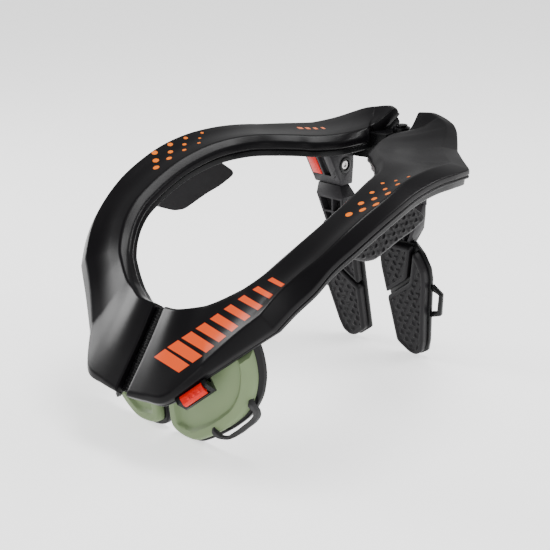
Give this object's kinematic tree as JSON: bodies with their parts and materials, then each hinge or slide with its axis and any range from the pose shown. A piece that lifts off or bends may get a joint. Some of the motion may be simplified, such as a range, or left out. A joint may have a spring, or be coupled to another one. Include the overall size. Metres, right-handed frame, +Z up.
{
  "type": "motocross neck brace",
  "caption": "Black motocross neck brace with a moulded collar, orange dot pattern, green chest pads, black back pads on grey brackets and a red release lever.",
  "frame": {"origin": "centre of the footprint on the floor", "axes": "+X wearer left, -Y front, +Z up"},
  "size_m": [0.262, 0.3402, 0.2116],
  "materials": {
    "cover_black": "satin moulded foam skin",
    "frame_black": "hard moulded, satin to gloss",
    "pad_black": "matt with raised bumps",
    "plastic_grey": "moulded, matt",
    "signal_red": "moulded, glossy",
    "screw_steel": "plated",
    "pad_green": "matt moulded",
    "web_black": "woven webbing"
  },
  "bodies": {
    "left_half": {"collar_pad_left": "cover_black", "collar_frame_left": "frame_black", "shoulder_pad_left": "pad_black", "rear_bracket_left": "plastic_grey", "angle_wedge_left": "signal_red", "bracket_screw_left": "screw_steel", "rear_strut_left": "plastic_grey", "back_plate_left": "frame_black", "back_pad_main_left": "pad_black", "back_pad_upper_left": "pad_black", "back_loop_left": "frame_black", "chest_plate_left": "frame_black", "chest_pad_left": "pad_green", "chest_loop_left": "web_black", "hinge_bridge_left": "frame_black", "hinge_pin": "screw_steel", "front_key": "frame_black", "release_housing": "frame_black"},
    "right_half": {"collar_pad_right": "cover_black", "collar_frame_right": "frame_black", "shoulder_pad_right": "pad_black", "rear_bracket_right": "plastic_grey", "angle_wedge_right": "signal_red", "bracket_screw_right": "screw_steel", "rear_strut_right": "plastic_grey", "back_plate_right": "frame_black", "back_pad_main_right": "pad_black", "back_pad_upper_right": "pad_black", "back_loop_right": "frame_black", "chest_plate_right": "frame_black", "chest_pad_right": "pad_green", "chest_loop_right": "web_black", "hinge_bridge_right": "frame_black", "front_tongue": "frame_black"},
    "release": {"release_lever": "signal_red"}
  },
  "joints": [
    {"name": "right_half_swing", "type": "hinge", "parent": "left_half", "child": "right_half", "pos_m": [0, 0.15278, 0.184], "axis": [0, 0, -1], "range_deg": [0, 35]},
    {"name": "release_press", "type": "hinge", "parent": "left_half", "child": "release", "pos_m": [0.05842, -0.15118, 0.05743], "axis": [-0.59, -0.5565, -0.5849], "range_deg": [0, 40]}
  ]
}
